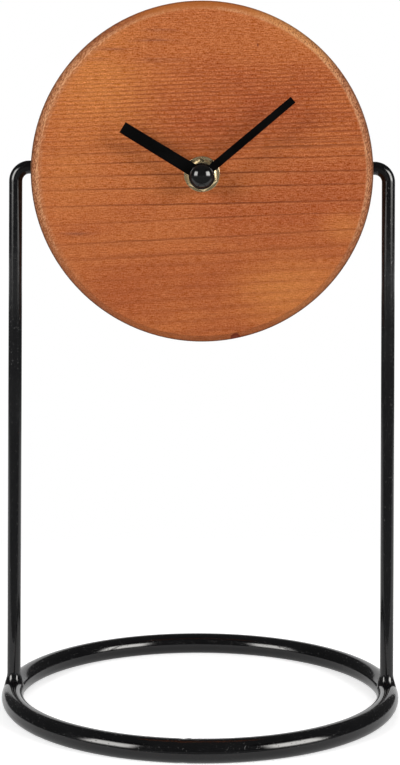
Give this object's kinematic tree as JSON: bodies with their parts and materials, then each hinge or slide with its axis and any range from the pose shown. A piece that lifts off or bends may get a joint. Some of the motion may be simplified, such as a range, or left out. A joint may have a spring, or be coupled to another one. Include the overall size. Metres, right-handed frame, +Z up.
{
  "type": "table clock",
  "caption": "Round wooden table clock whose dial tilts between two bent black rods rising from a black base ring.",
  "frame": {"origin": "centre of the base ring, on the surface that the clock stands on", "axes": "+Z up, the dial faces -Y, and +X is to the right of someone who reads the clock"},
  "size_m": [0.148, 0.148, 0.2633],
  "materials": {
    "black_coat": "satin powder coat",
    "wood": "oiled",
    "brass": "plain",
    "rubber": "matte",
    "black_plastic": "moulded",
    "grey_plastic": "moulded",
    "gear_plastic": "moulded",
    "black_hands": "matte black paint",
    "gloss_black": "gloss",
    "magnet": "plain",
    "steel": "plain",
    "bright_metal": "nickel plated",
    "copper": "enamelled wire",
    "board": "plain",
    "battery_can": "satin sleeve"
  },
  "bodies": {
    "stand": {"base_ring": "black_coat", "left_upright": "black_coat", "right_upright": "black_coat", "upright_welds": "black_coat"},
    "dial": {"wood_dial": "wood", "movement_case": "black_plastic", "movement_cover": "black_plastic", "middle_plate": "grey_plastic", "mounting_bush": "brass", "rubber_washer": "rubber", "brass_washer": "brass", "hex_nut": "brass", "stator": "steel", "coil_core": "steel", "coil_winding": "copper", "circuit_board": "board", "quartz_crystal": "bright_metal", "driver_chip": "gloss_black", "positive_contact": "bright_metal", "negative_contact": "bright_metal"},
    "minutes": {"minute_hand": "black_hands", "minute_arbor": "gear_plastic"},
    "hours": {"hour_hand": "black_hands", "hour_wheel": "gear_plastic"},
    "setting": {"motion_wheel": "gear_plastic", "setting_knob": "black_plastic"},
    "seconds": {"second_wheel": "gear_plastic", "centre_cap": "gloss_black"},
    "third": {"third_wheel": "gear_plastic"},
    "centre": {"centre_wheel": "gear_plastic"},
    "step": {"step_wheel": "gear_plastic"},
    "rotor": {"rotor_pinion": "gear_plastic", "rotor_magnet": "magnet"},
    "cell": {"battery": "battery_can"}
  },
  "joints": [
    {"name": "dial_tilt", "type": "hinge", "parent": "stand", "child": "dial", "pos_m": [0, 0, 0.2004], "axis": [1, 0, 0], "continuous": true},
    {"name": "minute_turn", "type": "hinge", "parent": "dial", "child": "minutes", "pos_m": [0, 0.00016, 0.19906], "axis": [0, 0.9925, 0.1219], "continuous": true},
    {"name": "hour_turn", "type": "hinge", "parent": "dial", "child": "hours", "pos_m": [0, 0.00016, 0.19906], "axis": [0, 0.9925, 0.1219], "continuous": true},
    {"name": "setting_turn", "type": "hinge", "parent": "dial", "child": "setting", "pos_m": [-0.01, 0.00016, 0.19906], "axis": [0, 0.9925, 0.1219], "continuous": true},
    {"name": "seconds_turn", "type": "hinge", "parent": "dial", "child": "seconds", "pos_m": [0, 0.00016, 0.19906], "axis": [0, 0.9925, 0.1219], "continuous": true},
    {"name": "third_turn", "type": "hinge", "parent": "dial", "child": "third", "pos_m": [0.00846, 0.00054, 0.196], "axis": [0, 0.9925, 0.1219], "continuous": true},
    {"name": "centre_turn", "type": "hinge", "parent": "dial", "child": "centre", "pos_m": [0, 0.00016, 0.19906], "axis": [0, 0.9925, 0.1219], "continuous": true},
    {"name": "step_turn", "type": "hinge", "parent": "dial", "child": "step", "pos_m": [0.00196, -0.00073, 0.20631], "axis": [0, 0.9925, 0.1219], "continuous": true},
    {"name": "rotor_turn", "type": "hinge", "parent": "dial", "child": "rotor", "pos_m": [0.00819, -0.00116, 0.20988], "axis": [0, 0.9925, 0.1219], "continuous": true},
    {"name": "battery_slide", "type": "slide", "parent": "dial", "child": "cell", "axis": [0, 0.9925, 0.1219], "range_m": [0, 0.02]}
  ],
  "couplings": [
    {"joint": "hour_turn", "follows": "minute_turn", "ratio": 0.083333},
    {"joint": "setting_turn", "follows": "minute_turn", "ratio": -0.33333},
    {"joint": "third_turn", "follows": "seconds_turn", "ratio": -0.13333},
    {"joint": "centre_turn", "follows": "seconds_turn", "ratio": 0.016667},
    {"joint": "step_turn", "follows": "seconds_turn", "ratio": -6},
    {"joint": "rotor_turn", "follows": "seconds_turn", "ratio": 30}
  ]
}
